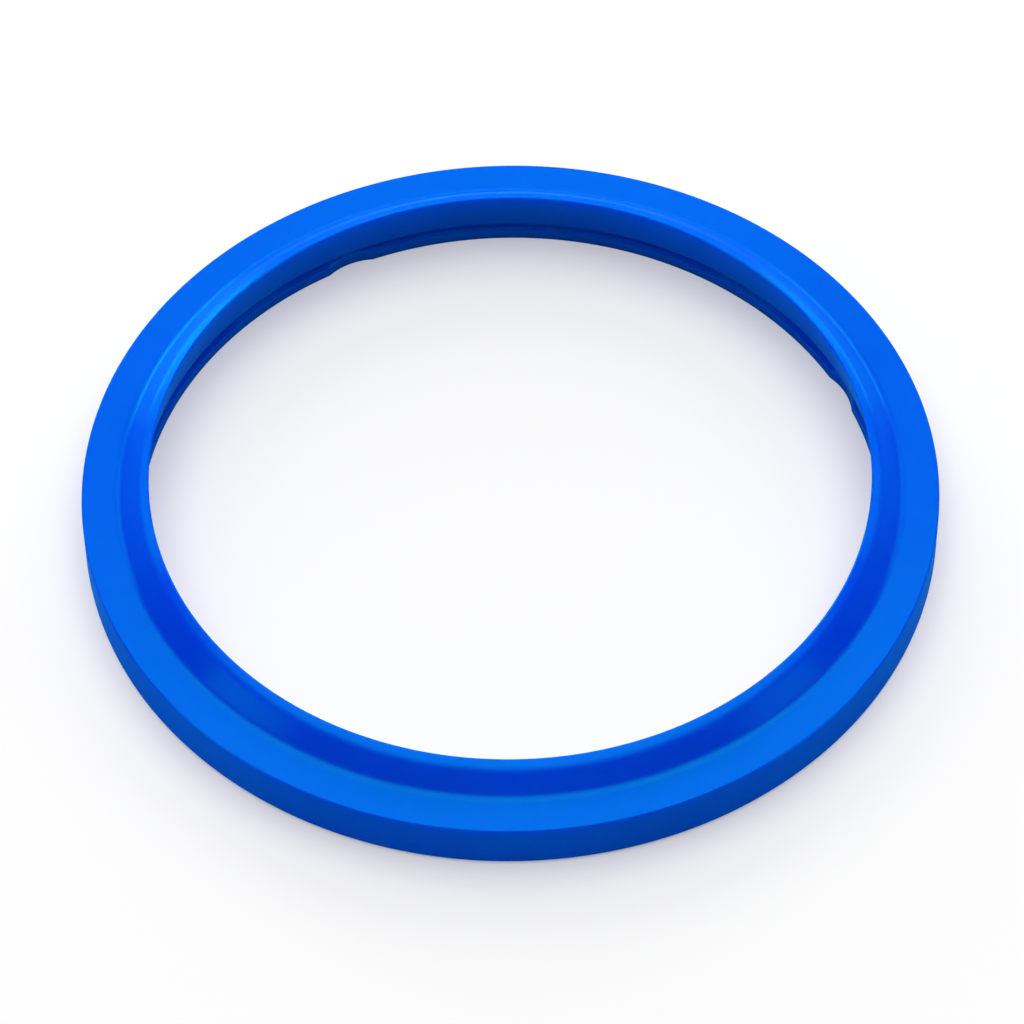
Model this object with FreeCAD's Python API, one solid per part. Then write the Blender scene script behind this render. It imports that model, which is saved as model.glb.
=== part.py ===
import FreeCAD, Part
import math
import os

# Rod wiper ring, moulded in one piece of polyurethane, in millimetres.
# The ring stands on its flat lower face. The origin is the centre of that face,
# and +Z runs along the rod, from the heel lip to the wiping lip.

# The rod that the ring wipes, and the gland groove that holds the ring.
rod_diameter = 70.0
gland_depth = 5.0            # from the rod's surface out to the floor of the gland groove
body_height = 5.0            # the part of the ring that sits in the gland groove
seat_chamfer = 0.4           # leads the ring's lower edge into the gland groove, at 45 degrees
shoulder_chamfer = 0.1       # breaks the edge between the outer wall and the flat shoulder

# The wiping lip rises from the flat shoulder and leans in over the rod.
lip_rise = 2.2               # from the shoulder to the top of the lip
lip_preload = 1.4            # how far the free lip stands inside the rod's surface
lip_foot_width = 1.5         # from the rod's surface out to where the lip leaves the shoulder
lip_foot_fillet = 1.2        # hollow rounding at the foot of the lip
lip_land_width = 0.97        # sloping land behind the lip's edge, measured across the ring
lip_land_drop = 0.33         # fall of that land from the top of the lip
lip_break_rounding = 2.0     # broad rounding where the land turns down into the flank
lip_edge_rounding = 0.15     # the narrow edge that scrapes the rod

# The bore below the lip is a leaning wall, then a groove, then the heel lip.
wall_foot_preload = 0.2      # how far the foot of the leaning wall stands inside the rod's surface
heel_preload = 0.15          # how far the heel lip stands inside the rod's surface
groove_centre_height = 1.66  # from the lower face to the middle of the groove
groove_floor_width = 0.25    # the groove's flanks spread from its floor at 45 degrees
groove_depth = 0.45          # from the heel lip out to the groove's floor

# Relief notches are shallow round scallops across the heel lip, in opposite pairs.
notch_depth = 0.39           # from the heel lip out to the deepest line of the scallop
notch_radius = 6.0           # radius of the scallop, seen along the rod
notch_turns = (24.0, 116.0)  # degrees from +X, one for each pair

# Radii and heights that follow from the sizes above.
rod_radius = rod_diameter / 2
outer_radius = rod_radius + gland_depth
lip_bore_radius = rod_radius - lip_preload
lip_foot_radius = rod_radius + lip_foot_width
lip_top = body_height + lip_rise
wall_foot_radius = rod_radius - wall_foot_preload
heel_radius = rod_radius - heel_preload
groove_floor_radius = heel_radius + groove_depth
groove_floor_bottom = groove_centre_height - groove_floor_width / 2
groove_floor_top = groove_centre_height + groove_floor_width / 2
notch_floor_radius = heel_radius + notch_depth

AXIS = FreeCAD.Vector(0, 0, 1)
ORIGIN = FreeCAD.Vector(0, 0, 0)
SAME_POINT = 1e-6            # two points nearer than this are one
HALF_TURN = 180.0
FULL_TURN = 360.0


def section_point(radius, height):
    """A point of the ring's cross-section, which lies in the XZ plane."""
    return FreeCAD.Vector(radius, 0, height)


def rounded_face(corners):
    """A flat face through corners given in order as (point, rounding), with a true arc at each.

    A rounding of 0 leaves its corner sharp. An arc takes up at most half of the shorter side
    beside it.
    """
    edges = []
    first_start = None
    last_end = None
    for index, (corner, rounding) in enumerate(corners):
        back = corners[index - 1][0] - corner
        ahead = corners[(index + 1) % len(corners)][0] - corner
        half_angle = back.getAngle(ahead) / 2
        room = min(back.Length, ahead.Length) / 2
        reach = min(rounding / math.tan(half_angle), room)
        radius = reach * math.tan(half_angle)
        back.normalize()
        ahead.normalize()
        inward = back + ahead
        inward.normalize()
        start = corner + back * reach
        middle = corner + inward * (radius / math.sin(half_angle) - radius)
        end = corner + ahead * reach
        if last_end is None:
            first_start = start
        elif start.distanceToPoint(last_end) > SAME_POINT:
            edges.append(Part.LineSegment(last_end, start).toShape())
        if reach > 0:
            edges.append(Part.Arc(start, middle, end).toShape())
        last_end = end
    if first_start.distanceToPoint(last_end) > SAME_POINT:
        edges.append(Part.LineSegment(last_end, first_start).toShape())
    return Part.Face(Part.Wire(edges))


def tangent_angle(point, centre, side):
    """The direction, in the section's plane, of the line from a point that touches the edge's arc.

    side is +1 or -1, for the arc lying to the left or to the right of that line.
    """
    away = centre - point
    aim = math.atan2(away.z, away.x)
    return aim - side * math.asin(lip_edge_rounding / away.Length)


def lip_corner(land_end, wall_end):
    """The sharp corner that the land and the bore wall would meet at.

    Its rounding touches the lip's bore and the lip's top, and both lines touch the rounding.
    """
    centre = section_point(lip_bore_radius + lip_edge_rounding, lip_top - lip_edge_rounding)
    land_angle = tangent_angle(land_end, centre, 1)
    wall_angle = tangent_angle(wall_end, centre, -1)
    land_way = section_point(math.cos(land_angle), math.sin(land_angle))
    wall_way = section_point(math.cos(wall_angle), math.sin(wall_angle))
    gap = wall_end - land_end
    turn = land_way.x * wall_way.z - land_way.z * wall_way.x
    along = (gap.x * wall_way.z - gap.z * wall_way.x) / turn
    return land_end + land_way * along


def ring_section():
    """The ring's cross-section, from the heel out, over the lip and down the bore."""
    land_end = section_point(lip_bore_radius + lip_land_width, lip_top - lip_land_drop)
    wall_end = section_point(wall_foot_radius, groove_floor_top + groove_floor_radius - wall_foot_radius)
    return rounded_face([
        (section_point(heel_radius, 0), 0),
        (section_point(outer_radius - seat_chamfer, 0), 0),
        (section_point(outer_radius, seat_chamfer), 0),
        (section_point(outer_radius, body_height - shoulder_chamfer), 0),
        (section_point(outer_radius - shoulder_chamfer, body_height), 0),
        (section_point(lip_foot_radius, body_height), lip_foot_fillet),
        (land_end, lip_break_rounding),
        (lip_corner(land_end, wall_end), lip_edge_rounding),
        (wall_end, 0),
        (section_point(groove_floor_radius, groove_floor_top), 0),
        (section_point(groove_floor_radius, groove_floor_bottom), 0),
        (section_point(heel_radius, groove_floor_bottom - groove_depth), 0),
    ])


def relief_notch(turn):
    """The space of one notch: a round post in the bore, from under the ring up to the groove.

    Before it is turned the post stands on the -X side, so that its seam faces the open bore.
    """
    post_foot = FreeCAD.Vector(notch_radius - notch_floor_radius, 0, -groove_centre_height)
    space = Part.makeCylinder(notch_radius, 2 * groove_centre_height, post_foot, AXIS)
    space.rotate(ORIGIN, AXIS, turn)
    return space


def wiper_ring():
    """The whole ring: its section turned about the rod's axis, less the relief notches."""
    ring = ring_section().revolve(ORIGIN, AXIS, FULL_TURN)
    notches = []
    for turn in notch_turns:
        notches.append(relief_notch(turn))
        notches.append(relief_notch(turn + HALF_TURN))
    return ring.cut(notches)


os.makedirs("parts", exist_ok=True)
wiper_ring().exportStep("parts/wiper_ring.step")
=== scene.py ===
import math

import bpy
from mathutils import Matrix, Vector


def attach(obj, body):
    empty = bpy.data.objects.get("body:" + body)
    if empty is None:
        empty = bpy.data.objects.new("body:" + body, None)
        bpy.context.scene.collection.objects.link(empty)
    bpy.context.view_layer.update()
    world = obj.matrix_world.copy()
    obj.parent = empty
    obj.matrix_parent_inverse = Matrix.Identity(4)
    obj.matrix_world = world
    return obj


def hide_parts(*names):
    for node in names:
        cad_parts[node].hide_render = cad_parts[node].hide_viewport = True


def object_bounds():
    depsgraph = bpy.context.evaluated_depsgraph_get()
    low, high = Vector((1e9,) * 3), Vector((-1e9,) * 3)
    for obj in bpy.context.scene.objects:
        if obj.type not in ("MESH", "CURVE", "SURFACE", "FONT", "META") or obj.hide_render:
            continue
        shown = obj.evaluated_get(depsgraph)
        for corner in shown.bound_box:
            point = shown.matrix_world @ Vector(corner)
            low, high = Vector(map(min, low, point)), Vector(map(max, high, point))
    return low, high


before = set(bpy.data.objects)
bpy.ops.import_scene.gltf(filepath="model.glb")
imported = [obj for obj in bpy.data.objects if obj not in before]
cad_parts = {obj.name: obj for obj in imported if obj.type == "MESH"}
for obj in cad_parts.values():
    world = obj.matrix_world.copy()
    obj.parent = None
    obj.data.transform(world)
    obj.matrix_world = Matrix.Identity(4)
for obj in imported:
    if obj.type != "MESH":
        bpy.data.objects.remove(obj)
solid_low, solid_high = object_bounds()

# The wiper ring is one moulding of cast polyurethane, dyed blue all through. Its section is the
# same all round: an outer wall that seats in the gland, a flat shoulder, a lip that leans in over
# the rod, and below it a groove and a heel lip, which four relief notches break.
mm = 0.001
ring_outer = solid_high.x
lip_top = solid_high.z
shoulder_height = 5.0 * mm
seat_chamfer = 0.4 * mm
seat_chamfer_rounding = 0.3 * mm
shoulder_chamfer = 0.1 * mm
shoulder_chamfer_rounding = 0.06 * mm
lip_bore = 33.6 * mm
lip_foot = 36.5 * mm
lip_foot_fillet = 1.2 * mm
lip_land_width = 0.97 * mm
lip_land_drop = 0.33 * mm
lip_break_rounding = 2.0 * mm
lip_edge_rounding = 0.15 * mm
bore_wall_foot = 34.8 * mm
heel_bore = 34.85 * mm
groove_floor = 35.3 * mm
groove_centre = 1.66 * mm
groove_floor_width = 0.25 * mm
groove_floor_rounding = 0.12 * mm
moulded_edge_rounding = 0.05 * mm
flat_hold = 0.04 * mm
notch_floor = 35.24 * mm
notch_radius = 6.0 * mm
broad_rounding = 0.5 * mm
fewest_steps = 4
# Angles in degrees: the notches, and how finely the roundings and the turn are divided.
notch_turns = (24.0, 116.0, 204.0, 296.0)
notch_half_span = 8.0
broad_step = 4
narrow_step = 12
fine_turn = 0.125
fine_half_span = 5.0
plain_turn = 1.0
# The dye, how deep light enters it, and how the skin reflects straight on and at a slant.
deep_blue = (0.0005, 0.045, 0.75, 1)
light_blue = (0.001, 0.054, 0.8, 1)
light_depth = 1.0 * mm
skin_tint = (0.01, 1.0, 1.0, 1)
grazing_tint = (0.2, 1.0, 1.0, 1)
skin_gloss = 0.071
grazing_gloss = 0.27
grazing_power = 5.0
wall_gloss_share = 0.55


def lip_corner(land_end, wall_end):
    """Where the land and the bore wall would meet, if the lip's edge weren't rounded."""
    centre = Vector((lip_bore + lip_edge_rounding, lip_top - lip_edge_rounding))
    ways = []
    for end, side in ((land_end, 1), (wall_end, -1)):
        away = centre - end
        angle = math.atan2(away.y, away.x) - side * math.asin(lip_edge_rounding / away.length)
        ways.append(Vector((math.cos(angle), math.sin(angle))))
    gap = wall_end - land_end
    along = gap.cross(ways[1]) / ways[0].cross(ways[1])
    return land_end + ways[0] * along


def soft_corner(before, corner, after, rounding):
    """Points round one corner of the section, with one more on each side to hold the flats flat."""
    back = (before - corner).normalized()
    ahead = (after - corner).normalized()
    half_angle = back.angle(ahead) / 2
    reach = rounding / math.tan(half_angle)
    inward = (back + ahead).normalized()
    centre = corner + inward * rounding / math.sin(half_angle)
    start = corner + back * reach - centre
    turn = start.angle_signed(corner + ahead * reach - centre)
    step_degrees = broad_step if rounding > broad_rounding else narrow_step
    steps = max(fewest_steps, round(abs(math.degrees(turn)) / step_degrees))
    points = [corner + back * (reach + flat_hold)]
    for step in range(steps + 1):
        spun = Matrix.Rotation(-turn * step / steps, 2) @ start
        points.append(centre + spun)
    points.append(corner + ahead * (reach + flat_hold))
    return points


def ring_outline():
    """The section's outline from the heel out, over the lip and down the bore."""
    land_end = Vector((lip_bore + lip_land_width, lip_top - lip_land_drop))
    groove_floor_top = groove_centre + groove_floor_width / 2
    groove_floor_bottom = groove_centre - groove_floor_width / 2
    heel_top = groove_floor_bottom - groove_floor + heel_bore
    wall_end = Vector((bore_wall_foot, groove_floor_top + groove_floor - bore_wall_foot))
    corners = [
        (Vector((heel_bore, 0)), moulded_edge_rounding),
        (Vector((ring_outer - seat_chamfer, 0)), seat_chamfer_rounding),
        (Vector((ring_outer, seat_chamfer)), seat_chamfer_rounding),
        (Vector((ring_outer, shoulder_height - shoulder_chamfer)), shoulder_chamfer_rounding),
        (Vector((ring_outer - shoulder_chamfer, shoulder_height)), shoulder_chamfer_rounding),
        (Vector((lip_foot, shoulder_height)), lip_foot_fillet),
        (land_end, lip_break_rounding),
        (lip_corner(land_end, wall_end), lip_edge_rounding),
        (wall_end, moulded_edge_rounding),
        (Vector((groove_floor, groove_floor_top)), groove_floor_rounding),
        (Vector((groove_floor, groove_floor_bottom)), groove_floor_rounding),
        (Vector((heel_bore, heel_top)), moulded_edge_rounding),
    ]
    points = []
    for index, (corner, rounding) in enumerate(corners):
        before = corners[index - 1][0]
        after = corners[(index + 1) % len(corners)][0]
        points.extend(soft_corner(before, corner, after, rounding))
    return points


def notch_reach(turn):
    """How far out a round notch cuts at this turn about the rod's axis, or 0 away from them."""
    for notch_turn in notch_turns:
        off = math.radians((turn - notch_turn + 180) % 360 - 180)
        if abs(off) < math.radians(notch_half_span):
            middle = notch_floor - notch_radius
            half_chord = math.sqrt(notch_radius ** 2 - (middle * math.sin(off)) ** 2)
            return middle * math.cos(off) + half_chord
    return 0.0


def ring_turns():
    """Turns about the rod's axis, close together at the notches."""
    turns = []
    turn = 0.0
    while turn < 360 - fine_turn / 2:
        turns.append(turn)
        near = min(abs((turn - notch_turn + 180) % 360 - 180) for notch_turn in notch_turns)
        turn += fine_turn if near < fine_half_span else plain_turn
    return turns


outline = ring_outline()
turns = ring_turns()
ring_points = []
for turn in turns:
    reach = notch_reach(turn)
    across = Vector((math.cos(math.radians(turn)), math.sin(math.radians(turn)), 0))
    for point in outline:
        radius = point.x
        if max(radius - heel_bore, point.y) < 2 * moulded_edge_rounding:
            radius += max(reach - heel_bore, 0)
        elif point.y < groove_centre and radius < notch_floor + moulded_edge_rounding:
            radius = max(radius, reach)
        ring_points.append(across * radius + Vector((0, 0, point.y)))
ring_faces = []
for row in range(len(turns)):
    here = row * len(outline)
    there = (row + 1) % len(turns) * len(outline)
    for column in range(len(outline)):
        following = (column + 1) % len(outline)
        ring_faces.append((here + column, there + column, there + following, here + following))
ring_mesh = bpy.data.meshes.new("wiper_ring_moulding")
ring_mesh.from_pydata(ring_points, [], ring_faces)
for face in ring_mesh.polygons:
    face.use_smooth = True
ring_moulding = bpy.data.objects.new("wiper_ring_moulding", ring_mesh)
bpy.context.scene.collection.objects.link(ring_moulding)


def blue_polyurethane():
    """Dyed polyurethane, which light enters a little, under a satin skin from a turned mould.

    The walls, which slide along the mould as the ring leaves it, are duller than the top.
    """
    material = bpy.data.materials.new("blue_polyurethane")
    material.use_nodes = True
    nodes = material.node_tree.nodes
    links = material.node_tree.links
    body = nodes["Principled BSDF"]
    place = nodes.new("ShaderNodeTexCoord")

    clouds = nodes.new("ShaderNodeTexNoise")
    clouds.inputs["Scale"].default_value = 90
    clouds.inputs["Detail"].default_value = 3
    links.new(place.outputs["Object"], clouds.inputs["Vector"])
    dye = nodes.new("ShaderNodeValToRGB")
    dye.color_ramp.elements[0].position = 0.3
    dye.color_ramp.elements[0].color = deep_blue
    dye.color_ramp.elements[1].position = 0.7
    dye.color_ramp.elements[1].color = light_blue
    links.new(clouds.outputs["Fac"], dye.inputs["Fac"])
    links.new(dye.outputs["Color"], body.inputs["Base Color"])

    grain = nodes.new("ShaderNodeTexNoise")
    grain.inputs["Scale"].default_value = 2500
    grain.inputs["Detail"].default_value = 4
    links.new(place.outputs["Object"], grain.inputs["Vector"])
    satin = nodes.new("ShaderNodeMapRange")
    satin.inputs["To Min"].default_value = 0.2
    satin.inputs["To Max"].default_value = 0.28
    links.new(grain.outputs["Fac"], satin.inputs["Value"])
    relief = nodes.new("ShaderNodeBump")
    relief.inputs["Strength"].default_value = 0.12
    relief.inputs["Distance"].default_value = 0.02 * mm
    links.new(grain.outputs["Fac"], relief.inputs["Height"])
    links.new(relief.outputs["Normal"], body.inputs["Normal"])

    body.inputs["Roughness"].default_value = 0.6
    body.inputs["Specular IOR Level"].default_value = 0.0
    body.inputs["Subsurface Weight"].default_value = 1.0
    body.inputs["Subsurface Radius"].default_value = (0.1, 0.3, 1.4)
    body.inputs["Subsurface Scale"].default_value = light_depth

    round_the_axis = nodes.new("ShaderNodeTangent")
    round_the_axis.direction_type = "RADIAL"
    round_the_axis.axis = "Z"
    skin = nodes.new("ShaderNodeBsdfAnisotropic")
    skin.inputs["Anisotropy"].default_value = 0.62
    links.new(satin.outputs["Result"], skin.inputs["Roughness"])
    links.new(relief.outputs["Normal"], skin.inputs["Normal"])
    links.new(round_the_axis.outputs["Tangent"], skin.inputs["Tangent"])
    slant = nodes.new("ShaderNodeLayerWeight")
    links.new(relief.outputs["Normal"], slant.inputs["Normal"])
    steep = nodes.new("ShaderNodeMath")
    steep.operation = "POWER"
    steep.inputs[1].default_value = grazing_power
    links.new(slant.outputs["Facing"], steep.inputs[0])
    tint = nodes.new("ShaderNodeValToRGB")
    tint.color_ramp.elements[0].color = skin_tint
    tint.color_ramp.elements[1].color = grazing_tint
    links.new(steep.outputs["Value"], tint.inputs["Fac"])
    links.new(tint.outputs["Color"], skin.inputs["Color"])
    shine = nodes.new("ShaderNodeMapRange")
    shine.inputs["To Min"].default_value = skin_gloss
    shine.inputs["To Max"].default_value = grazing_gloss
    links.new(steep.outputs["Value"], shine.inputs["Value"])

    way_it_faces = nodes.new("ShaderNodeSeparateXYZ")
    links.new(place.outputs["Normal"], way_it_faces.inputs["Vector"])
    walls_duller = nodes.new("ShaderNodeMapRange")
    walls_duller.inputs["From Max"].default_value = 0.5
    walls_duller.inputs["To Min"].default_value = wall_gloss_share
    walls_duller.inputs["To Max"].default_value = 1.0
    links.new(way_it_faces.outputs["Z"], walls_duller.inputs["Value"])
    gloss = nodes.new("ShaderNodeMath")
    gloss.operation = "MULTIPLY"
    links.new(shine.outputs["Result"], gloss.inputs[0])
    links.new(walls_duller.outputs["Result"], gloss.inputs[1])
    skinned = nodes.new("ShaderNodeMixShader")
    links.new(gloss.outputs["Value"], skinned.inputs["Fac"])
    links.new(body.outputs["BSDF"], skinned.inputs[1])
    links.new(skin.outputs["BSDF"], skinned.inputs[2])
    links.new(skinned.outputs["Shader"], nodes["Material Output"].inputs["Surface"])
    return material


ring_mesh.materials.append(blue_polyurethane())
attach(ring_moulding, "root")
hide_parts("wiper_ring")

# The table is a plain pale sheet that runs past the picture on every side, so it is also the
# backdrop. It looks near white and takes the ring's soft shadow, but lights the ring as a grey.
floor_half = 1.5
floor_drop = 0.02 * mm
floor_corners = ((-1, -1), (1, -1), (1, 1), (-1, 1))
grey_as_lit = 0.52
pale_as_seen = 0.97
white_as_seen = 0.35
floor_mesh = bpy.data.meshes.new("pale_table")
floor_mesh.from_pydata(
    [(x * floor_half, y * floor_half, -floor_drop) for x, y in floor_corners],
    [],
    [(0, 1, 2, 3)],
)
pale_table = bpy.data.objects.new("pale_table", floor_mesh)
bpy.context.scene.collection.objects.link(pale_table)
table_paint = bpy.data.materials.new("table_paint")
table_paint.use_nodes = True
paint_nodes = table_paint.node_tree.nodes
paint_links = table_paint.node_tree.links
paint_nodes.clear()
rays = paint_nodes.new("ShaderNodeLightPath")
seen = paint_nodes.new("ShaderNodeMath")
seen.operation = "ADD"
paint_links.new(rays.outputs["Is Camera Ray"], seen.inputs[0])
paint_links.new(rays.outputs["Is Glossy Ray"], seen.inputs[1])
seen_through = paint_nodes.new("ShaderNodeMath")
seen_through.operation = "ADD"
seen_through.use_clamp = True
paint_links.new(seen.outputs[0], seen_through.inputs[0])
paint_links.new(rays.outputs["Is Transmission Ray"], seen_through.inputs[1])
white_share = paint_nodes.new("ShaderNodeMath")
white_share.operation = "MULTIPLY"
white_share.inputs[1].default_value = white_as_seen
paint_links.new(seen_through.outputs[0], white_share.inputs[0])
shade = paint_nodes.new("ShaderNodeMapRange")
shade.inputs["To Min"].default_value = grey_as_lit
shade.inputs["To Max"].default_value = pale_as_seen
paint_links.new(seen_through.outputs[0], shade.inputs["Value"])
matt = paint_nodes.new("ShaderNodeBsdfDiffuse")
paint_links.new(shade.outputs["Result"], matt.inputs["Color"])
white = paint_nodes.new("ShaderNodeEmission")
white.inputs["Color"].default_value = (1, 1, 1, 1)
white.inputs["Strength"].default_value = 1.0
table_mix = paint_nodes.new("ShaderNodeMixShader")
paint_links.new(white_share.outputs[0], table_mix.inputs["Fac"])
paint_links.new(matt.outputs[0], table_mix.inputs[1])
paint_links.new(white.outputs[0], table_mix.inputs[2])
table_out = paint_nodes.new("ShaderNodeOutputMaterial")
paint_links.new(table_mix.outputs[0], table_out.inputs["Surface"])
floor_mesh.materials.append(table_paint)

# The studio has a very large softbox over the ring, windows of light and two small lamps low
# behind it, a low white card at each side of the front, and an even dim room.
ring_middle = Vector((0, 0, shoulder_height))
lamp_distance = 3.0
room_brightness = 0.04


def soft_lamp(name, turn, lift, wide, tall, brightness):
    """A soft lamp aimed at the ring from a turn about its axis and a lift above the table.

    A white card that faces a small one renders at its brightness.
    """
    light = bpy.data.lights.new(name, "AREA")
    light.shape = "ELLIPSE"
    light.size = wide
    light.size_y = tall
    light.energy = brightness * (math.pi * lamp_distance) ** 2
    lamp = bpy.data.objects.new(name, light)
    level = math.cos(math.radians(lift))
    way = Vector((
        level * math.cos(math.radians(turn)),
        level * math.sin(math.radians(turn)),
        math.sin(math.radians(lift)),
    ))
    lamp.location = ring_middle + way * lamp_distance
    lamp.rotation_euler = (-way).to_track_quat("-Z", "Y").to_euler()
    bpy.context.scene.collection.objects.link(lamp)


soft_lamp("overhead_softbox", 90, 85, 4.3, 4.3, 1.08)
soft_lamp("back_window", 92, 25, 3.2, 1.4, 0.35)
soft_lamp("back_left_window", 134, 34, 1.6, 1.2, 0.1)
soft_lamp("back_right_window", 46, 34, 1.6, 1.2, 0.08)
soft_lamp("low_left_lamp", 120, 9, 1.2, 0.7, 0.16)
soft_lamp("low_right_lamp", 60, 9, 1.2, 0.7, 0.11)
soft_lamp("left_card", 202, 4, 1.4, 0.5, 0.2)
soft_lamp("right_card", 338, 4, 1.4, 0.5, 0.16)
room = bpy.data.worlds.new("room")
room.use_nodes = True
room.node_tree.nodes["Background"].inputs["Color"].default_value = (1, 1, 1, 1)
room.node_tree.nodes["Background"].inputs["Strength"].default_value = room_brightness
bpy.context.scene.world = room
bpy.context.scene.view_settings.view_transform = "Standard"

# The camera stands in front of the ring and looks down on it with a long lens, as in the
# photograph. Lengths of its place are in outer radii of the ring.
view_lift = math.radians(51.24)
view_roll = math.radians(-0.83)
view_distance = 12.0
view_aside = -0.0041
view_below = -0.0725
ring_radius_pixels = 428.51
picture_pixels = 1024
sensor_width = 36.0
level_right = Vector((1, 0, 0))
level_up = Vector((0, math.sin(view_lift), math.cos(view_lift)))
forward = Vector((0, math.cos(view_lift), -math.sin(view_lift)))
right = math.cos(view_roll) * level_right + math.sin(view_roll) * level_up
up = -math.sin(view_roll) * level_right + math.cos(view_roll) * level_up
picture_camera = bpy.data.cameras.new("picture_camera")
picture_camera.sensor_width = sensor_width
picture_camera.lens = ring_radius_pixels * view_distance / picture_pixels * sensor_width
camera = bpy.data.objects.new("picture_camera", picture_camera)
camera.matrix_world = Matrix((right, up, -forward)).transposed().to_4x4()
off_centre = up * view_below - right * view_aside - forward * view_distance
camera.location = ring_middle + off_centre * ring_outer
bpy.context.scene.collection.objects.link(camera)
bpy.context.scene.camera = camera
